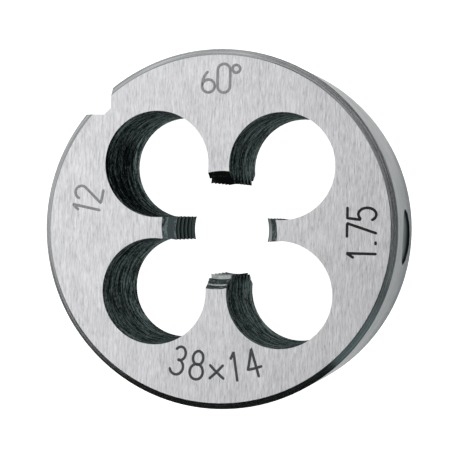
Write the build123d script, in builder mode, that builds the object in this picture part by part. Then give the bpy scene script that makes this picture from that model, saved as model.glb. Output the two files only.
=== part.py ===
"""Round threading die for M12 x 1.75: one solid of high-speed steel, 38 mm across and 14 mm thick.

Four chip holes run through the blank and open into the thread, which leaves four threaded lands.
Both ends of the thread open in a tapered lead that is relieved behind the cutting edges, a notch in
the rim takes the spreading screw of the die stock, and conical dimples in the rim take its clamping
screws.

Frame: +Z is the axis of the thread and points out of the marked face. The origin is the centre of
the back face. +X runs along a land, and the notch is half-way between +Y and -X.
"""

from build123d import *
import os
from math import ceil, radians, sin, tan

# ---- Driving dimensions, in millimetres and degrees ----------------------------------------------

# The blank
OUTSIDE_DIAMETER = 38.0
THICKNESS = 14.0
EDGE_CHAMFER = 0.7

# The thread: metric coarse, right-handed
MAJOR_DIAMETER = 12.0
PITCH = 1.75
FLANK_ANGLE = 60.0
# Direction in which the middle of a groove crosses the back face
START_ANGLE = 64.0

# The tapered leads: how far each opens past the major radius, and how deep it goes
FRONT_LEAD_OPENING = 0.23
FRONT_LEAD_LENGTH = 2.5
BACK_LEAD_OPENING = 0.23
BACK_LEAD_LENGTH = 2.5
# How far the taper on each land is centred to the side, so that it falls away behind the cutting edge
LEAD_RELIEF = 0.35
# How far off the axis the front lead is ground
FRONT_LEAD_RUNOUT_X = 0.18
FRONT_LEAD_RUNOUT_Y = -0.10

# The chip holes: the wall they leave outside, and the thinnest neck between two of them
LAND_COUNT = 4
RIM_WALL = 3.84
LAND_NECK = 2.2
# The narrower cut inside each hole that dresses the sides of the lands at the thread
DRESSING_DIAMETER = 9.74
DRESSING_NECK = 2.26

# The notch for the spreading screw
NOTCH_DIRECTION = 135.0
NOTCH_ANGLE = 90.0
NOTCH_DEPTH = 1.64
NOTCH_FLOOR = 1.0

# The conical dimples for the clamping screws, one behind each land
DIMPLE_DIRECTION = -1.3
DIMPLE_DIAMETER = 6.5
DIMPLE_ANGLE = 90.0
DIMPLE_HEIGHT = 6.0

# How far a cutting tool runs past the face that it cuts
OVERRUN = 0.5
# Share of the spacing of two lands that one groove runs, so that it ends inside the chip holes
GROOVE_SHARE = 2 / 3

# ---- Derived dimensions --------------------------------------------------------------------------

outside_radius = OUTSIDE_DIAMETER / 2
land_spacing = 360 / LAND_COUNT

# The form of the bolt thread that the die cuts: flats of P/8 at the major diameter, and 2/3 of the
# sharp V deep, so that the crests of the die reach the root of the bolt
half_flank_slope = tan(radians(FLANK_ANGLE / 2))
sharp_height = PITCH / 2 / half_flank_slope
groove_depth = sharp_height * 2 / 3
major_radius = MAJOR_DIAMETER / 2
minor_radius = major_radius - groove_depth
root_half_width = PITCH / 16

# Equal holes on a circle: they leave RIM_WALL outside and are LAND_NECK apart
half_spacing_sine = sin(radians(land_spacing / 2))
chip_reach = outside_radius - RIM_WALL
chip_circle_radius = (chip_reach + LAND_NECK / 2) / (1 + half_spacing_sine)
chip_hole_radius = chip_reach - chip_circle_radius
dressing_circle_radius = (DRESSING_DIAMETER + DRESSING_NECK) / 2 / half_spacing_sine

notch_floor_radius = outside_radius - NOTCH_DEPTH
dimple_depth = DIMPLE_DIAMETER / 2 / tan(radians(DIMPLE_ANGLE / 2))

# ---- Cutting tools -------------------------------------------------------------------------------

# One groove of the thread across the land on +X: the thread form carried along a short helix
with BuildPart() as groove_cutter:
    groove_sweep = land_spacing * GROOVE_SHARE
    groove_rise = PITCH * groove_sweep / 360
    with BuildLine():
        groove_path = Helix(PITCH, groove_rise, minor_radius, center=(0, 0, -groove_rise / 2))
    with BuildSketch(Plane(origin=groove_path @ 0, x_dir=(1, 0, 0), z_dir=groove_path % 0)):
        mouth_half_width = root_half_width + (groove_depth + OVERRUN) * half_flank_slope
        with BuildLine():
            Polyline(
                (-OVERRUN, -mouth_half_width),
                (groove_depth, -root_half_width),
                (groove_depth, root_half_width),
                (-OVERRUN, mouth_half_width),
                close=True,
            )
        make_face()
    sweep(path=groove_path, is_frenet=True)


def lead_corners(face_height, inwards, opening, length):
    """Corners of the half section of a lead, as (radius, height), with OVERRUN past both its ends.

    The taper goes from major_radius + opening at the face to the minor radius at its full length.
    inwards is the way into the blank from the face: 1 is up and -1 is down.
    """
    mouth_radius = major_radius + opening
    slope = (mouth_radius - minor_radius) / length
    outer_height = face_height - inwards * OVERRUN
    inner_height = face_height + inwards * (length + OVERRUN)
    return [
        (0, outer_height),
        (mouth_radius + slope * OVERRUN, outer_height),
        (minor_radius - slope * OVERRUN, inner_height),
        (0, inner_height),
    ]


# Each lead across the land on +X. A land cuts with its side towards +Y at the front and with its
# side towards -Y at the back, so the two tapers are centred to opposite sides.
land_reach = minor_radius * half_spacing_sine

with BuildPart() as front_lead_cutter:
    with BuildSketch(Plane.XZ.offset(LEAD_RELIEF)):
        with BuildLine():
            Polyline(*lead_corners(THICKNESS, -1, FRONT_LEAD_OPENING, FRONT_LEAD_LENGTH), close=True)
        make_face()
    revolve(axis=Axis((0, -LEAD_RELIEF, 0), (0, 0, 1)))
    with Locations((major_radius, 0, THICKNESS)):
        Box(2 * major_radius, 2 * land_reach, THICKNESS, mode=Mode.INTERSECT)

with BuildPart() as back_lead_cutter:
    with BuildSketch(Plane.XZ.offset(-LEAD_RELIEF)):
        with BuildLine():
            Polyline(*lead_corners(0, 1, BACK_LEAD_OPENING, BACK_LEAD_LENGTH), close=True)
        make_face()
    revolve(axis=Axis((0, LEAD_RELIEF, 0), (0, 0, 1)))
    with Locations((major_radius, 0, 0)):
        Box(2 * major_radius, 2 * land_reach, THICKNESS, mode=Mode.INTERSECT)

# A trapezium that widens outwards from the floor of the notch
with BuildPart() as notch_cutter:
    with BuildSketch(Plane.XY.rotated((0, 0, NOTCH_DIRECTION))):
        notch_length = NOTCH_DEPTH + OVERRUN
        mouth_half_width = NOTCH_FLOOR / 2 + notch_length * tan(radians(NOTCH_ANGLE / 2))
        with BuildLine():
            Polyline(
                (notch_floor_radius, -NOTCH_FLOOR / 2),
                (notch_floor_radius + notch_length, -mouth_half_width),
                (notch_floor_radius + notch_length, mouth_half_width),
                (notch_floor_radius, NOTCH_FLOOR / 2),
                close=True,
            )
        make_face()
    extrude(amount=THICKNESS)

# A cone on +X with its point inwards, DIMPLE_DIAMETER across where it passes the outside radius
with BuildPart() as dimple_cutter:
    with BuildSketch(Plane.XZ):
        cone_length = dimple_depth + OVERRUN
        with BuildLine():
            Polyline(
                (outside_radius - dimple_depth, DIMPLE_HEIGHT),
                (outside_radius + OVERRUN, DIMPLE_HEIGHT),
                (
                    outside_radius + OVERRUN,
                    DIMPLE_HEIGHT + cone_length * tan(radians(DIMPLE_ANGLE / 2)),
                ),
                close=True,
            )
        make_face()
    revolve(axis=Axis((0, 0, DIMPLE_HEIGHT), (1, 0, 0)))

# ---- The die -------------------------------------------------------------------------------------

# Where the grooves go: land by land round the axis, each a share of the pitch above the last
start_height = -PITCH * START_ANGLE / 360
turns = ceil(THICKNESS / PITCH)
groove_places = [
    Location(
        (0, 0, start_height + PITCH * (turn + land / LAND_COUNT)),
        (0, 0, land * land_spacing - groove_sweep / 2),
    )
    for land in range(LAND_COUNT)
    for turn in range(-1, turns + 2)
]

# The seam of the rim is laid in the notch, which leaves the rim as one face
with BuildPart() as die_body:
    with BuildSketch(Plane.XY.rotated((0, 0, NOTCH_DIRECTION))):
        Circle(outside_radius)
    extrude(amount=THICKNESS)
    chamfer(die_body.edges().filter_by(GeomType.CIRCLE), EDGE_CHAMFER)
    with BuildSketch():
        Circle(minor_radius)
        with PolarLocations(chip_circle_radius, LAND_COUNT, start_angle=land_spacing / 2):
            Circle(chip_hole_radius)
        with PolarLocations(dressing_circle_radius, LAND_COUNT, start_angle=land_spacing / 2):
            Circle(DRESSING_DIAMETER / 2)
    extrude(amount=THICKNESS, mode=Mode.SUBTRACT)
    with Locations(*groove_places):
        add(groove_cutter.part, mode=Mode.SUBTRACT)
    with Locations((FRONT_LEAD_RUNOUT_X, FRONT_LEAD_RUNOUT_Y)):
        with PolarLocations(0, LAND_COUNT):
            add(front_lead_cutter.part, mode=Mode.SUBTRACT)
    add(notch_cutter.part, mode=Mode.SUBTRACT)
    with PolarLocations(0, LAND_COUNT):
        add(back_lead_cutter.part, mode=Mode.SUBTRACT)
    with PolarLocations(0, LAND_COUNT, start_angle=DIMPLE_DIRECTION):
        add(dimple_cutter.part, mode=Mode.SUBTRACT)

die_body.part.label = "die_body"

os.makedirs("parts", exist_ok=True)
export_step(die_body.part, "parts/die_body.step")
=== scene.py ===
"""Round threading die, 38 mm across and 14 mm thick, lying on its back face.

The die itself is the CAD solid with its steel finishes, some of their tones painted light and shade.
The marks on its front face are thin strokes swept along lines and arcs, in tones of painted light and
shade. A dim dome and soft lights light it, and four cards round it show in reflections only, one of
them a painted shadow on the floor. Lengths are in millimetres unless a comment says metres.
"""

import math
from types import SimpleNamespace

import bmesh
import bpy
import numpy as np
from mathutils import Matrix, Vector


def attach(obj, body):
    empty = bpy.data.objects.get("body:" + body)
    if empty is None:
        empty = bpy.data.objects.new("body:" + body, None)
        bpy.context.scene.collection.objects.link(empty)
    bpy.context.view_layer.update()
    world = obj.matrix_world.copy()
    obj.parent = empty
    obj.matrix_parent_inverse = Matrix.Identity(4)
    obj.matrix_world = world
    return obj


MM = 0.001

# ---- Sizes of the die, in millimetres and degrees ------------------------------------------------

THICKNESS = 14.0
OUTSIDE_RADIUS = 19.0
EDGE_CHAMFER = 0.7
# How far from the axis the chip holes reach
CHIP_REACH = 15.16
LEAD_MOUTH_RADIUS = 6.45
NOTCH_DIRECTION = 135.0
NOTCH_FLOOR_RADIUS = 17.36

# ---- Marks on the front face ---------------------------------------------------------------------

STROKE_WIDTH = 0.29
STROKE_HEIGHT = 0.012
GLYPH_HEIGHT = 3.0
GLYPH_WIDTH = 1.35
# Widths of the narrow glyphs, as parts of GLYPH_WIDTH
NARROW_GLYPHS = {".": 0.5, "1": 0.8, "o": 0.75}
GLYPH_GAP = 0.3
BENT_GLYPH_GAP = 0.75
POINTS_PER_STROKE = 49
POINTS_ROUND_STROKE = 10
# The rings of a stroke's round end: how far past the end and how wide they are, in half widths
END_REACH = (0.62, 0.92, 1.0)
END_WIDTH = (0.78, 0.4, 0.0)
# Points closer than this, in metres, become one
SEAM_REACH = 1e-8

# Each mark: name, text, centre, turn, radius of the circle it follows or None, and tone. The tones are
# painted light and shade on one ink: lighter at the top and left, darker at the bottom, darkest at the right
MARKS = (
    ("mark_flank_angle", "60o", (0.17, 15.85), 0.0, None, (0.41, 0.41, 0.415)),
    ("mark_thread_size", "12", (-14.25, 2.75), 79.0, None, (0.40, 0.405, 0.41)),
    ("mark_pitch", "1.75", (15.25, -0.1), 90.0, None, (0.010, 0.011, 0.012)),
    ("mark_blank_size", "38*14", (0.0, 0.0), -89.5, 14.5, (0.085, 0.088, 0.089)),
)


def put_in_scene(name, data):
    """A new object of a mesh, camera or light, linked into the scene."""
    thing = bpy.data.objects.new(name, data)
    bpy.context.scene.collection.objects.link(thing)
    return thing


def arc(cx, cy, rx, ry, start, end):
    """Points of an elliptic arc: centre plus radii times the cosine and sine of the angle."""
    a = np.radians(np.linspace(start, end, POINTS_PER_STROKE))
    return np.stack([cx + rx * np.cos(a), cy + ry * np.sin(a)], axis=1)


def line(*corners):
    """Points of an open run of straight lines, equally spaced along each."""
    corners = np.array(corners, float)
    t = np.linspace(0, len(corners) - 1, POINTS_PER_STROKE)
    return np.stack([np.interp(t, np.arange(len(corners)), corners[:, k]) for k in (0, 1)], axis=1)


def glyph_strokes():
    """Strokes of each numeral, as points in a cell w wide and h high; m is its middle."""
    w, h = GLYPH_WIDTH, GLYPH_HEIGHT
    m = w / 2
    return {
        "0": [np.concatenate([arc(m, h - m, m, m, 0, 180), arc(m, m, m, m, 180, 360),
                              line((w, m), (w, h - m))])],
        "1": [line((m * 0.5, h * 0.78), (m * 1.1, h), (m * 1.1, 0))],
        "2": [np.concatenate([arc(m, h - m, m, m, 165, -30),
                              line((m * 1.75, h - m * 1.65), (0, 0), (w, 0))])],
        "3": [arc(m, h * 0.76, m * 0.92, h * 0.24, 150, -90), arc(m, h * 0.27, m, h * 0.27, 90, -150)],
        "4": [line((m * 1.35, 0), (m * 1.35, h), (0, h * 0.3), (w * 1.05, h * 0.3))],
        "5": [np.concatenate([line((w * 0.95, h), (w * 0.18, h), (w * 0.08, h * 0.56)),
                              arc(m, h * 0.31, m, h * 0.31, 130, -145)])],
        "6": [arc(m, m, m, m, 0, 360), arc(m * 2.1, m, m * 2.1, h * 0.62, 180, 128)],
        "7": [line((0, h), (w, h), (w * 0.3, 0))],
        "8": [arc(m, h * 0.76, m * 0.86, h * 0.24, 0, 360), arc(m, h * 0.27, m, h * 0.27, 0, 360)],
        ".": [line((m * 0.9, 0), (m * 1.1, 0))],
        "*": [line((0, h * 0.1), (w, h * 0.55)), line((0, h * 0.55), (w, h * 0.1))],
        "o": [arc(m * 0.75, h - m * 0.75, m * 0.6, m * 0.6, 0, 360)],
    }


def bent_run(strokes, turn, radius):
    """Strokes bent along a circle about the axis of the die, with their tops towards the axis.

    The distance along the run becomes an angle, and the height is taken off the radius.
    """
    bent = []
    for points in strokes:
        angle = math.radians(turn) + points[:, 0] / radius
        r = radius - points[:, 1]
        bent.append(np.stack([r * np.cos(angle), r * np.sin(angle)], axis=1))
    return bent


def straight_run(strokes, place, turn):
    """Strokes turned about the middle of their run and moved to a place."""
    c, s = math.cos(math.radians(turn)), math.sin(math.radians(turn))
    rotate = np.array([[c, s], [-s, c]])
    return [points @ rotate + np.array(place) for points in strokes]


def text_strokes(text, place, turn, bend_radius):
    """Strokes of a run of glyphs side by side, bent round the axis if it has a bend radius."""
    shapes = glyph_strokes()
    gap = BENT_GLYPH_GAP if bend_radius else GLYPH_GAP
    advance = [GLYPH_WIDTH * NARROW_GLYPHS.get(c, 1.0) + gap for c in text]
    x = -(sum(advance) - gap) / 2
    strokes = []
    for c, step in zip(text, advance):
        shift = GLYPH_WIDTH * (1 - NARROW_GLYPHS.get(c, 1.0)) / 2
        for points in shapes[c]:
            strokes.append(points + np.array([x - shift, -GLYPH_HEIGHT / 2]))
        x += step
    if bend_radius:
        return bent_run(strokes, turn, bend_radius)
    return straight_run(strokes, place, turn)


def swept_stroke(points, width, height):
    """A flat closed ellipse carried along a path.

    At each path point the section spans the path's normal by half the width times its cosine and the
    vertical by the height times its sine. Both shrink past the two ends as a half circle does, so that
    the stroke ends round and closed.
    """
    step = np.gradient(points, axis=0)
    tangent = step / np.maximum(np.linalg.norm(step, axis=1, keepdims=True), 1e-9)
    half = width / 2
    rings = len(END_REACH)
    out = np.array(END_REACH) * half
    head = points[0] - tangent[0] * out[::-1, None]
    tail = points[-1] + tangent[-1] * out[:, None]
    path = np.concatenate([head, points, tail])
    along = np.concatenate([np.repeat(tangent[:1], rings, 0), tangent, np.repeat(tangent[-1:], rings, 0)])
    shrink = np.concatenate([END_WIDTH[::-1], np.ones(len(points)), END_WIDTH])
    normal = np.stack([-along[:, 1], along[:, 0]], axis=1)
    a = np.arange(POINTS_ROUND_STROKE) * 2 * np.pi / POINTS_ROUND_STROKE
    across = half * shrink[:, None] * np.cos(a)
    up = height * shrink[:, None] * np.sin(a)
    xy = path[:, None] + normal[:, None] * across[..., None]
    return np.concatenate([xy, up[..., None]], axis=2)


def tube_faces(rows, columns, first):
    """Quads of a grid that closes on itself across its columns; first is its first point's number."""
    i, j = np.meshgrid(np.arange(rows - 1), np.arange(columns), indexing="ij")
    k = (j + 1) % columns
    quads = np.stack([i * columns + j, i * columns + k, (i + 1) * columns + k, (i + 1) * columns + j], -1)
    return quads.reshape(-1, 4) + first


def close_seams(mesh):
    """Merges the doubled points at the stroke ends and points the faces outwards."""
    b = bmesh.new()
    b.from_mesh(mesh)
    bmesh.ops.remove_doubles(b, verts=b.verts, dist=SEAM_REACH)
    bmesh.ops.dissolve_degenerate(b, dist=SEAM_REACH, edges=b.edges)
    bmesh.ops.recalc_face_normals(b, faces=b.faces)
    b.to_mesh(mesh)
    b.free()


def mark_piece(name, strokes):
    """One piece of all strokes of a mark, each a closed swept stroke on the front face."""
    verts, faces, first = [], [], 0
    for points in strokes:
        grid = swept_stroke(points, STROKE_WIDTH, STROKE_HEIGHT)
        grid[..., 2] += THICKNESS
        verts.append(grid.reshape(-1, 3))
        faces.append(tube_faces(grid.shape[0], grid.shape[1], first))
        first += grid.shape[0] * grid.shape[1]
    mesh = bpy.data.meshes.new(name)
    mesh.from_pydata((np.concatenate(verts) * MM).tolist(), [], np.concatenate(faces).tolist())
    close_seams(mesh)
    mesh.shade_smooth()
    return put_in_scene(name, mesh)


# ---- Materials -----------------------------------------------------------------------------------

class Weave:
    """Short names for the nodes of one material."""

    def __init__(self, name):
        self.material = bpy.data.materials.new(name)
        self.material.use_nodes = True
        self.tree = self.material.node_tree
        self.tree.nodes.clear()
        self.shader = self.node("ShaderNodeBsdfPrincipled")
        output = self.node("ShaderNodeOutputMaterial")
        self.feed(output.inputs["Surface"], self.shader.outputs[0])

    def node(self, kind, **settings):
        """A new node of a kind, with its settings."""
        n = self.tree.nodes.new(kind)
        for key, value in settings.items():
            setattr(n, key, value)
        return n

    def feed(self, socket, value):
        """Links a node's result to the socket, or sets the socket to a number or colour."""
        if isinstance(value, bpy.types.NodeSocket):
            self.tree.links.new(value, socket)
        elif socket.type == "RGBA":
            socket.default_value = (*value, 1.0)
        else:
            socket.default_value = value

    def finish(self, sockets):
        """Feeds the shader's sockets, and gives the material."""
        for name, value in sockets.items():
            self.feed(self.shader.inputs[name], value)
        return self.material

    def math(self, operation, a, b=0.0, clamp=False):
        """Result of an operation on one or two values, held between 0 and 1 if clamped."""
        n = self.node("ShaderNodeMath", operation=operation, use_clamp=clamp)
        for socket, value in zip(n.inputs, (a, b)):
            self.feed(socket, value)
        return n.outputs[0]

    def total(self, *parts):
        """Sum of values, each times its weight."""
        products = [self.math("MULTIPLY", value, weight) for value, weight in parts]
        result = products[0]
        for product in products[1:]:
            result = self.math("ADD", result, product)
        return result

    def swing(self, pattern, size):
        """How far a pattern is off its middle, times a size."""
        return self.math("MULTIPLY", self.math("SUBTRACT", pattern, 0.5), size)

    def above(self, value, edge, soft=0.01):
        """1 where the value is above the edge and 0 where it is below, with a short ramp."""
        n = self.node("ShaderNodeMapRange", interpolation_type="SMOOTHSTEP")
        self.feed(n.inputs["Value"], value)
        n.inputs["From Min"].default_value = edge - soft
        n.inputs["From Max"].default_value = edge + soft
        return n.outputs[0]

    def below(self, value, edge, soft=0.01):
        """1 where the value is below the edge and 0 where it is above, with a short ramp."""
        return self.math("SUBTRACT", 1.0, self.above(value, edge, soft))

    def both(self, *masks):
        """1 where every mask is 1."""
        result = masks[0]
        for mask in masks[1:]:
            result = self.math("MULTIPLY", result, mask)
        return result

    def millimetres(self):
        """The place on the piece in millimetres."""
        place = self.node("ShaderNodeTexCoord")
        return self.stretch(place.outputs["Object"], (1 / MM, 1 / MM, 1 / MM))

    def stretch(self, vector, scale, turn=0):
        """A place scaled along the three axes, then turned about the third by some degrees."""
        n = self.node("ShaderNodeMapping")
        self.feed(n.inputs["Vector"], vector)
        n.inputs["Scale"].default_value = scale
        n.inputs["Rotation"].default_value = (0, 0, math.radians(turn))
        return n.outputs[0]

    def spread(self, *axes):
        """A place made from up to three values, each times its scale."""
        n = self.node("ShaderNodeCombineXYZ")
        for socket, (value, scale) in zip(n.inputs, axes):
            self.feed(socket, self.math("MULTIPLY", value, scale))
        return n.outputs[0]

    def split(self, vector):
        """The three parts of a place or direction."""
        n = self.node("ShaderNodeSeparateXYZ")
        self.feed(n.inputs[0], vector)
        return n.outputs

    def distance(self, vector, point):
        """Distance of each place from one point."""
        n = self.node("ShaderNodeVectorMath", operation="DISTANCE")
        self.feed(n.inputs[0], vector)
        n.inputs[1].default_value = point
        return n.outputs["Value"]

    def noise(self, vector, detail, roughness=0.55, distortion=0.0):
        """Cloudy pattern, 0 to 1, with grains about one unit of the place wide."""
        n = self.node("ShaderNodeTexNoise")
        self.feed(n.inputs["Vector"], vector)
        n.inputs["Scale"].default_value = 1.0
        n.inputs["Detail"].default_value = detail
        n.inputs["Roughness"].default_value = roughness
        n.inputs["Distortion"].default_value = distortion
        return n.outputs["Fac"]

    def blend(self, factor, a, b):
        """Number or colour a where the factor is 0 and b where it is 1."""
        colour = any(isinstance(end, tuple) or getattr(end, "type", "") == "RGBA" for end in (a, b))
        n = self.node("ShaderNodeMix", data_type="RGBA" if colour else "FLOAT")
        kind = "_Color" if colour else "_Float"
        sockets = {s.identifier: s for s in n.inputs}
        self.feed(sockets["Factor_Float"], factor)
        self.feed(sockets["A" + kind], a)
        self.feed(sockets["B" + kind], b)
        return next(s for s in n.outputs if s.identifier == "Result" + kind)

    def layers(self, base, *coats):
        """A number or colour with others laid over it in turn, each in the zone of its mask."""
        for mask, coat in coats:
            base = self.blend(mask, base, coat)
        return base

    def ramp(self, value, stops):
        """Colour ramp over stops, each a position and a colour."""
        n = self.node("ShaderNodeValToRGB")
        self.feed(n.inputs[0], value)
        elements = n.color_ramp.elements
        while len(elements) < len(stops):
            elements.new(0.5)
        for e, (position, colour) in zip(elements, stops):
            e.position = position
            e.color = (*colour, 1.0)
        return n.outputs[0]

    def bump(self, height, depth):
        """Relief of a pattern, its depth in millimetres."""
        n = self.node("ShaderNodeBump")
        n.inputs["Distance"].default_value = depth * MM
        self.feed(n.inputs["Height"], height)
        return n.outputs[0]


# Flat faces are more level than the first, 1 being flat and 0 upright, and walls less than the second
FACE_LEVEL = 0.97
WALL_LEVEL = 0.35
# Where the zones of the rim and of the chamfer begin, as distances from the axis
RIM_START = OUTSIDE_RADIUS - 0.03
RIM_SOFT = 0.005
CHAMFER_START = 18.1
# The lands at the left, right and bottom lie farther than this from the axis, each to its side
LAND_START = 3.0
LAND_SOFT = 1.0
# Painted shade: the thread's roots are black below a plane this far under the front face, which slopes
# down to the right by this much per millimetre, and down to as far above the back face
ROOT_DEPTH = 3.6
ROOT_SLOPE = 0.29
# Painted shade along the inside of the chamfers
CHAMFER_SHADE_WIDTH = 0.13
CHAMFER_SHADE_STRENGTH = 0.15
# The patch of painted shade in the upper left chip hole
SHADE_PATCH_PLACE = (-13.2, 4.2, 8.5)
SHADE_PATCH_RADIUS = 5.5
SHADE_PATCH_SOFT = 3.0
SHADE_PATCH_STRENGTH = 0.09

# Colours of each finish: every stop is a strength of its pattern and the colour there
GROUND_STEEL = ((0.35, (0.48, 0.48, 0.493)), (0.50, (0.66, 0.66, 0.673)), (0.63, (0.81, 0.81, 0.82)))
CHAMFER_STEEL = (
    (0.36, (0.200, 0.207, 0.21)),
    (0.52, (0.294, 0.303, 0.306)),
    (0.64, (0.388, 0.399, 0.402)),
)
RIM_STEEL = ((0.34, (0.145, 0.152, 0.155)), (0.50, (0.26, 0.272, 0.276)), (0.66, (0.40, 0.418, 0.424)))
HOLE_BLACK = ((0.41, (0.002, 0.003, 0.003)), (0.50, (0.053, 0.074, 0.072)), (0.58, (0.22, 0.29, 0.28)))
# The taper oxide's tones run from painted shade to painted light, by the painted light of each land and
# random spots
TAPER_OXIDE_SHADE_TO_LIGHT = ((0.05, (0.010, 0.012, 0.010)), (0.5, (0.085, 0.105, 0.105)), (0.85, (0.40, 0.50, 0.50)))
BARE_FLANK = ((0.35, (0.25, 0.27, 0.27)), (0.6, (0.47, 0.50, 0.50)))
NOTCH_STEEL = ((0.35, (0.26, 0.26, 0.265)), (0.65, (0.56, 0.56, 0.57)))
# The dimple's colours lie over the depth under the rim, in millimetres: painted shade, black just under
# the rim and lighter deeper in
DIMPLE_DEPTH_SHADE = ((0.20, (0.006, 0.007, 0.007)), (0.70, (0.32, 0.37, 0.36)))

# Painted shade along the inside of the chamfers
CHAMFER_EDGE_SHADE = (0.05, 0.06, 0.06)
# Painted light and shade on the thread's flanks: dark where little light is painted, own tones on the left
# and right lands, and darker in the lower right corner
FLANK_SHADE = (0.008, 0.010, 0.010)
CORNER_SHADE = (0.03, 0.036, 0.036)
LEFT_FLANK_PAINTED_LIGHT = (0.13, 0.165, 0.165)
RIGHT_FLANK_PAINTED_LIGHT = (0.22, 0.24, 0.24)
# Painted shade for the thread's roots
ROOT_SHADE = (0.01, 0.012, 0.012)
FLAT_BLACK = (0.004, 0.005, 0.004)
# Tint of the light that the steel throws back at a glancing angle
GLANCING_TINT = (0.52, 0.52, 0.52)

# Roughness, and what the lines of the steel and the grain of the ink add to it. The rim and the notch
# have the roughness of the ground faces.
HOLE_ROUGHNESS = 0.5
THREAD_ROUGHNESS = 0.30
GROUND_ROUGHNESS = 0.23
GROUND_LINES_ROUGHNESS = 0.12
CHAMFER_ROUGHNESS = 0.22
CHAMFER_LINES_ROUGHNESS = 0.10
INK_ROUGHNESS = 0.45
INK_GRAIN_ROUGHNESS = 0.2
# How metallic each finish is that is not bare bright steel
HOLE_SHEEN = 0.10
FLANK_SHEEN = 0.95
DIMPLE_SHEEN = 0.7
INK_SHEEN = 0.2
# Depth of the relief of the steel's lines and of the ink's grain
STEEL_RELIEF = 0.02
INK_RELIEF = 0.004


def die_places(w):
    """Where a point of the die lies and which way it faces.

    r and angle are its place round the axis, level is 1 on a flat face and 0 on an upright wall, and
    outwards is 1 where the surface faces away from the axis and -1 where it faces the axis.
    """
    mm = w.millimetres()
    x, y, z = w.split(mm)
    nx, ny, nz = w.split(w.node("ShaderNodeTexCoord").outputs["Normal"])
    r = w.math("SQRT", w.total((x, x), (y, y)))
    outwards = w.math("DIVIDE", w.total((x, nx), (y, ny)), r)
    level = w.math("ABSOLUTE", nz)
    angle = w.math("ARCTAN2", y, x)
    return SimpleNamespace(mm=mm, x=x, y=y, z=z, r=r, angle=angle, level=level, outwards=outwards)


def die_zones(w, at):
    """Where each finish of the die lies: masks that are 1 in their zone and 0 outside it.

    sunk holds what is sunk into the rim, the dimples and the notch.
    """
    face = w.above(at.level, FACE_LEVEL)
    off_face = w.below(face, 0.5)
    from_middle = w.math("ABSOLUTE", w.math("SUBTRACT", at.z, THICKNESS / 2))
    near_faces = w.above(from_middle, THICKNESS / 2 - EDGE_CHAMFER - 0.1)
    chamfer = w.both(off_face, w.above(at.level, WALL_LEVEL), w.above(at.r, CHAMFER_START), near_faces)
    rim = w.both(w.below(at.level, WALL_LEVEL), w.above(at.r, RIM_START, RIM_SOFT))
    sunk = w.both(w.above(at.r, CHIP_REACH + 0.15, 0.02), w.below(at.r, RIM_START, RIM_SOFT), off_face)
    direction = math.radians(NOTCH_DIRECTION)
    along_notch = w.total((at.x, math.cos(direction)), (at.y, math.sin(direction)))
    notch = w.both(sunk, w.above(along_notch, NOTCH_FLOOR_RADIUS - 0.05))
    thread = w.both(w.below(at.r, LEAD_MOUTH_RADIUS + 0.1), w.below(at.outwards, -0.1), off_face)
    return SimpleNamespace(face=face, chamfer=chamfer, rim=rim, sunk=sunk, notch=notch, thread=thread)


def ground_faces(w, at):
    """Tone and lines of the ground faces: short straight grinding lines, slightly off the Y axis."""
    coarse = w.noise(w.stretch(at.mm, (4.8, 0.46, 1.0), 4), 3.0, 0.65, 0.15)
    fine = w.noise(w.stretch(at.mm, (10.0, 1.3, 1.0), 3), 2.0, 0.6)
    cloud = w.noise(w.stretch(at.mm, (0.45, 0.16, 1.0), 5), 2.0)
    lines = w.total((coarse, 0.55), (fine, 0.45))
    return w.ramp(w.math("ADD", lines, w.swing(cloud, 0.16)), GROUND_STEEL), lines


def turned_chamfers(w, at):
    """Tone and lines of the edge chamfers: fine lines round the axis, with painted shade at the inside."""
    lines = w.noise(w.spread((at.angle, 2.2), (at.z, 5.0), (at.r, 5.0)), 3.0, 0.6)
    inside = w.below(at.r, OUTSIDE_RADIUS - EDGE_CHAMFER + CHAMFER_SHADE_WIDTH, 0.05)
    # Painted shade: the chamfer is darkened along its inside edge
    edge_shade = w.math("MULTIPLY", inside, CHAMFER_SHADE_STRENGTH)
    return w.blend(edge_shade, w.ramp(lines, CHAMFER_STEEL), CHAMFER_EDGE_SHADE), lines


def turned_rim(w, at):
    """Tone and lines of the rim: fine lines round the axis among broad clouds."""
    along = w.math("MULTIPLY", at.angle, OUTSIDE_RADIUS)
    cloud = w.noise(w.spread((along, 0.16), (at.z, 0.5)), 3.0, 0.6)
    lines = w.noise(w.spread((along, 0.35), (at.z, 4.5)), 3.0, 0.7)
    return w.ramp(w.total((cloud, 0.45), (lines, 0.55)), RIM_STEEL), lines


def chip_holes(w, at):
    """Tone, sheen and lines of the black hole walls.

    The drilling lines run round each hole at one height and are broken, and painted shade darkens one patch.
    """
    broad = w.noise(w.stretch(at.mm, (0.22, 0.22, 1.5)), 2.0, 0.6, 0.3)
    narrow = w.noise(w.stretch(at.mm, (0.55, 0.55, 3.4)), 3.0, 0.75, 0.2)
    specks = w.noise(w.stretch(at.mm, (3.6, 3.6, 3.6)), 2.0, 0.7)
    lines = w.total((broad, 0.35), (narrow, 0.65))
    # Painted shade: one patch of the upper left hole's wall is made darker
    in_shade_patch = w.below(w.distance(at.mm, SHADE_PATCH_PLACE), SHADE_PATCH_RADIUS, SHADE_PATCH_SOFT)
    patch_shade = w.math("MULTIPLY", in_shade_patch, SHADE_PATCH_STRENGTH)
    strength = w.math("SUBTRACT", w.math("ADD", lines, w.swing(specks, 0.40)), patch_shade)
    sheen = w.math("MULTIPLY", w.above(strength, 0.52, 0.10), HOLE_SHEEN)
    return w.ramp(strength, HOLE_BLACK), sheen, lines


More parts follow.
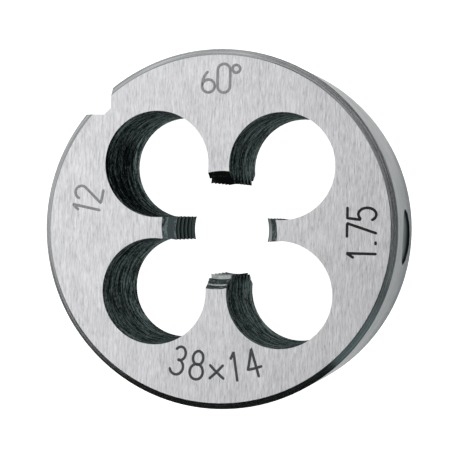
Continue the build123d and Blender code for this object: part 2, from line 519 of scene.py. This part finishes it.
def painted_thread_light(w, at, left_land):
    """How light the thread is painted, 0 to 1: painted light and shade, lightest on the left land and
    darkest on the top one.

    It goes by x, the square of x, and y. The mouth of the left land is darker.
    """
    by_place = w.total((at.x, -0.035), (w.math("MULTIPLY", at.x, at.x), 0.014), (at.y, -0.045))
    painted_light = w.math("ADD", 0.20, by_place, clamp=True)
    left_mouth = w.both(w.above(at.r, 5.70, 0.15), left_land)
    return w.math("SUBTRACT", painted_light, w.math("MULTIPLY", left_mouth, 0.22), clamp=True)


def cut_thread(w, at, thread):
    """Tone and sheen of the thread: black flats and roots, bare flanks and mottled oxide on the tapers. The
    roots are painted shade, and the flanks and tapers are painted lighter or darker from land to land.
    """
    left_land = w.below(at.x, -LAND_START, LAND_SOFT)
    right_land = w.above(at.x, LAND_START, LAND_SOFT)
    bottom_right = w.both(w.above(at.x, 0.95, 0.15), w.below(at.y, -LAND_START, LAND_SOFT))
    spots = w.noise(w.stretch(at.mm, (2.0, 2.0, 2.6)), 3.0, 0.65)
    # Painted light and shade by place: the thread is lightest on the left land and darkest on the top one
    painted_light = painted_thread_light(w, at, left_land)
    oxide_and_light = w.ramp(w.math("ADD", painted_light, w.swing(spots, 1.6)), TAPER_OXIDE_SHADE_TO_LIGHT)

    # Painted light and shade on the bare flanks: dark where little light is painted, own tones on the left
    # and right lands, and darker in the lower right corner
    bare_flank_shading = w.blend(w.math("MULTIPLY", painted_light, 2.5, clamp=True), FLANK_SHADE, w.ramp(spots, BARE_FLANK))
    bare_flank_shading = w.layers(bare_flank_shading, (left_land, LEFT_FLANK_PAINTED_LIGHT), (right_land, RIGHT_FLANK_PAINTED_LIGHT), (bottom_right, CORNER_SHADE))
    # Painted shade: the roots of the thread are black below a plane that slopes down to the right
    slanted = w.math("ADD", at.z, w.math("MULTIPLY", at.x, ROOT_SLOPE))
    deep = w.both(w.below(slanted, THICKNESS - ROOT_DEPTH, 0.2), w.above(at.z, ROOT_DEPTH, 0.2))
    shaded_roots = w.both(w.above(at.r, 5.15, 0.15), deep)
    flank = w.both(thread, w.above(at.level, 0.6, 0.1))
    flat = w.both(thread, w.below(at.level, 0.25, 0.05))
    tone = w.layers(oxide_and_light, (flank, w.blend(shaded_roots, bare_flank_shading, ROOT_SHADE)), (flat, FLAT_BLACK))
    return tone, w.math("MULTIPLY", flank, FLANK_SHEEN)


def die_steel():
    """The material of the die: every finish in its zone, with painted light and shade in some of them."""
    w = Weave("die_steel_finishes")
    at = die_places(w)
    zone = die_zones(w, at)
    face_tone, grinding = ground_faces(w, at)
    chamfer_tone, turning = turned_chamfers(w, at)
    rim_tone, rim_lines = turned_rim(w, at)
    hole_tone, hole_sheen, hole_lines = chip_holes(w, at)
    thread_tone, thread_sheen = cut_thread(w, at, zone.thread)
    # Painted shade: the dimples are black near the rim and lighter deeper in
    dimple_shaded_tone = w.ramp(w.math("SUBTRACT", OUTSIDE_RADIUS, at.r), DIMPLE_DEPTH_SHADE)
    notch_tone = w.ramp(w.noise(w.stretch(at.mm, (3.0, 3.0, 0.3)), 3.0, 0.65), NOTCH_STEEL)
    bright = w.math("MAXIMUM", w.math("MAXIMUM", zone.face, zone.rim),
                    w.math("MAXIMUM", zone.chamfer, zone.notch))

    tone = w.layers(hole_tone, (zone.face, face_tone), (zone.thread, thread_tone), (zone.rim, rim_tone),
                    (zone.sunk, dimple_shaded_tone), (zone.notch, notch_tone), (zone.chamfer, chamfer_tone))
    sheen = w.layers(hole_sheen, (zone.thread, thread_sheen), (zone.sunk, DIMPLE_SHEEN), (bright, 1.0))
    ground_rough = w.math("ADD", GROUND_ROUGHNESS, w.math("MULTIPLY", grinding, GROUND_LINES_ROUGHNESS))
    chamfer_rough = w.math("ADD", CHAMFER_ROUGHNESS, w.math("MULTIPLY", turning, CHAMFER_LINES_ROUGHNESS))
    rough = w.layers(HOLE_ROUGHNESS, (zone.thread, THREAD_ROUGHNESS), (bright, ground_rough),
                     (zone.chamfer, chamfer_rough))
    height = w.layers(hole_lines, (zone.rim, rim_lines), (zone.face, grinding), (zone.chamfer, turning),
                      (zone.thread, 0.5))
    return w.finish({"Base Color": tone, "Metallic": sheen, "Roughness": rough, "Specular IOR Level": 0.0,
                     "Specular Tint": GLANCING_TINT, "Normal": w.bump(height, STEEL_RELIEF)})


def mark_ink(name, tone):
    """The etched marks: a matt dark oxide that lets a little of the ground steel show in its grain."""
    # The tone given is painted light and shade, one for each mark
    w = Weave(name)
    grain = w.noise(w.stretch(w.millimetres(), (8.0, 1.2, 1.0), 4), 3.0)
    darker = tuple(v * 0.75 for v in tone)
    lighter = tuple(v * 1.3 for v in tone)
    rough = w.math("ADD", INK_ROUGHNESS, w.math("MULTIPLY", grain, INK_GRAIN_ROUGHNESS))
    return w.finish({"Base Color": w.ramp(grain, ((0.3, darker), (0.7, lighter))), "Metallic": INK_SHEEN,
                     "Roughness": rough, "Normal": w.bump(grain, INK_RELIEF)})


def studio_paint(name, tone, glow_tone, glow, roughness, gloss):
    """A plain paint that may glow, for the floor and the cards."""
    return Weave(name).finish({"Base Color": tone, "Emission Color": glow_tone, "Emission Strength": glow,
                               "Roughness": roughness, "Specular IOR Level": gloss})


# ---- Camera, floor, cards and lights -------------------------------------------------------------

CAMERA_PLACE = Vector((40.20, 1.514, 194.11)) * MM
CAMERA_AIM = Vector((1.32, -0.01, 14.0)) * MM
CAMERA_ROLL = 1.319
CAMERA_LENS = 137.79
SENSOR_WIDTH = 36
# Nearest and farthest that the camera sees, in metres
CAMERA_CLIP = (0.01, 20)

# In metres: the floor's half width, and how far it lies under the back face
FLOOR_HALF = 3.0
FLOOR_DROP = 2e-5
FLOOR_TONE = (0.9, 0.9, 0.9)

# Cards hung round the edge of the die: name, tone, and the direction and top height of each corner
CARD_RADIUS = 27.0
CARD_BOTTOM = 8.5
CARD_COLUMNS = 61
HUNG_CARDS = (
    ("dark_card", (0.004, 0.012, 0.010), (
        (-187.0, 9.3), (-165.0, 10.8), (-135.0, 12.9), (-120.0, 13.7),
        (-105.0, 15.8), (-80.0, 18.0), (-50.0, 18.6),
    )),
    ("grey_card", (0.31, 0.43, 0.43), ((-50.0, 17.8), (-40.0, 15.8), (-18.0, 14.0))),
    ("pale_card", (0.78, 0.97, 0.98), ((-18.0, 14.0), (5.0, 12.9), (20.0, 11.9), (45.0, 9.6))),
)
# The foot card, a crescent on the floor and a painted shadow of the die that only reflections show: its
# ends, inner radius, width in the middle and height
FOOT_CARD_ENDS = (-60.0, 36.0)
FOOT_CARD_RADIUS = 19.05
FOOT_CARD_WIDTH = 1.05
FOOT_CARD_HEIGHT = 0.05
FOOT_SHADOW_TONE = (0.46, 0.485, 0.495)

# The dome: its colour, and how its glow rises with the height of the direction (1 is straight up)
DOME_COLOUR = (0.985, 0.99, 1.0)
DOME_RISE = {"From Min": 0.05, "From Max": 0.27, "To Min": 0.02, "To Max": 0.37}

# Soft lights, in metres: name, place, width, height, brightness and colour
WHITE = (1.0, 1.0, 1.0)
COOL_WHITE = (0.85, 1.0, 1.0)
SOFT_LIGHTS = (
    ("overhead_box", (-0.497, 0.135, 0.65), 0.64, 1.06, 0.80, WHITE),
    ("back_card", (-0.30, 0.75, 0.06), 0.7, 0.3, 0.55, WHITE),
    ("back_box", (-0.15, 0.70, 0.27), 0.5, 0.20, 2.1, WHITE),
    ("right_box", (0.52, 0.0, 0.47), 0.4, 0.4, 0.05, COOL_WHITE),
    ("left_box", (-0.75, 0.0, 0.24), 0.3, 0.22, 0.9, WHITE),
)


def place_camera():
    """Camera whose right side is level with the X axis but for the roll."""
    data = bpy.data.cameras.new("camera")
    camera = put_in_scene("camera", data)
    forward = (CAMERA_AIM - CAMERA_PLACE).normalized()
    level_right = forward.cross(Vector((0, 1, 0))).normalized()
    level_up = level_right.cross(forward)
    roll = math.radians(CAMERA_ROLL)
    right = level_right * math.cos(roll) + level_up * math.sin(roll)
    up = level_up * math.cos(roll) - level_right * math.sin(roll)
    turn = Matrix((right, up, -forward)).transposed().to_4x4()
    turn.translation = CAMERA_PLACE
    camera.matrix_world = turn
    data.sensor_width = SENSOR_WIDTH
    data.lens = CAMERA_LENS
    data.clip_start, data.clip_end = CAMERA_CLIP
    bpy.context.scene.camera = camera


def lay_floor():
    """Plain pale floor just under the die."""
    half, down = FLOOR_HALF, -FLOOR_DROP
    corners = [(-half, -half, down), (half, -half, down), (half, half, down), (-half, half, down)]
    mesh = bpy.data.meshes.new("floor")
    mesh.from_pydata(corners, [], [(0, 1, 2, 3)])
    mesh.materials.append(studio_paint("floor_white", FLOOR_TONE, WHITE, glow=1.0, roughness=0.8, gloss=0.1))
    floor = put_in_scene("floor", mesh)


def curved_card(name, degrees, lower, upper, tone, glow):
    """A card bent round part of the die that only reflections show, between a lower and an upper edge.

    Each edge is a radius and a height, and each of those one number or one per direction. A point of
    an edge is its radius times the cosine and sine of its direction, at its height.
    """
    angle = np.radians(degrees)
    edges = []
    for radius, height in (lower, upper):
        edges.append(np.column_stack([radius * np.cos(angle), radius * np.sin(angle), height + 0.0 * angle]))
    i = np.arange(len(angle) - 1)
    quads = np.stack([i, i + 1, i + 1 + len(angle), i + len(angle)], axis=1)
    mesh = bpy.data.meshes.new(name)
    mesh.from_pydata((np.concatenate(edges) * MM).tolist(), [], quads.tolist())
    mesh.materials.append(studio_paint(name + "_matt", tone, tone, glow, roughness=0.9, gloss=0.0))
    card = put_in_scene(name, mesh)
    card.visible_camera = False
    card.visible_shadow = False


def set_up_cards():
    """The glowing foot card on the floor, a painted shadow of the die, and the cards hung low round the
    edge of the die.
    """
    degrees = np.linspace(*FOOT_CARD_ENDS, CARD_COLUMNS)
    bulge = FOOT_CARD_WIDTH * np.sin(np.linspace(0.0, np.pi, CARD_COLUMNS))
    # Painted shadow: a grey glowing crescent on the floor beside the die, seen only in the rim's reflection
    curved_card("foot_shadow_card", degrees, (FOOT_CARD_RADIUS, FOOT_CARD_HEIGHT),
                (FOOT_CARD_RADIUS + bulge, FOOT_CARD_HEIGHT), FOOT_SHADOW_TONE, glow=1.0)
    for name, tone, corners in HUNG_CARDS:
        directions, tops = zip(*corners)
        degrees = np.linspace(directions[0], directions[-1], CARD_COLUMNS)
        top = np.interp(degrees, directions, tops)
        curved_card(name, degrees, (CARD_RADIUS, CARD_BOTTOM), (CARD_RADIUS, top), tone, glow=0.0)


def soft_light(name, place, width, height, brightness, colour):
    """A rectangular soft light of even brightness that faces the die."""
    data = bpy.data.lights.new(name, "AREA")
    data.shape = "RECTANGLE"
    data.size = width
    data.size_y = height
    data.energy = brightness * math.pi * width * height
    data.color = colour
    light = put_in_scene(name, data)
    light.location = place
    light.rotation_euler = (-Vector(place)).to_track_quat("-Z", "Y").to_euler()


def light_studio():
    """A dome that is dark at the horizon and glows softly higher up, and the soft lights round the die."""
    world = bpy.data.worlds.new("studio")
    world.use_nodes = True
    nodes, links = world.node_tree.nodes, world.node_tree.links
    background = nodes["Background"]
    background.inputs["Color"].default_value = (*DOME_COLOUR, 1)
    direction = nodes.new("ShaderNodeTexCoord")
    height = nodes.new("ShaderNodeSeparateXYZ")
    rise = nodes.new("ShaderNodeMapRange")
    rise.interpolation_type = "SMOOTHSTEP"
    for socket, value in DOME_RISE.items():
        rise.inputs[socket].default_value = value
    links.new(direction.outputs["Generated"], height.inputs[0])
    links.new(height.outputs["Z"], rise.inputs["Value"])
    links.new(rise.outputs[0], background.inputs["Strength"])
    bpy.context.scene.world = world
    for settings in SOFT_LIGHTS:
        soft_light(*settings)


# ---- The scene -----------------------------------------------------------------------------------

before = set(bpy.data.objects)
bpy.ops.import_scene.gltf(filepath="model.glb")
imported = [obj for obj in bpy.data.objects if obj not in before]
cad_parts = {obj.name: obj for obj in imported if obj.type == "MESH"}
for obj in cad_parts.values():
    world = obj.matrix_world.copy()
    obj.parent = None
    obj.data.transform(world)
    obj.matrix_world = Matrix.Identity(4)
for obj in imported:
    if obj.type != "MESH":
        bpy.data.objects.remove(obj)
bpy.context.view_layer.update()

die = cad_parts["die_body"]
die.data.materials.clear()
die.data.materials.append(die_steel())

for name, text, place, turn, bend_radius, tone in MARKS:
    piece = mark_piece(name, text_strokes(text, place, turn, bend_radius))
    piece.data.materials.append(mark_ink(name + "_ink", tone))
    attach(piece, "root")

place_camera()
lay_floor()
set_up_cards()
light_studio()
bpy.context.scene.view_settings.view_transform = "Standard"
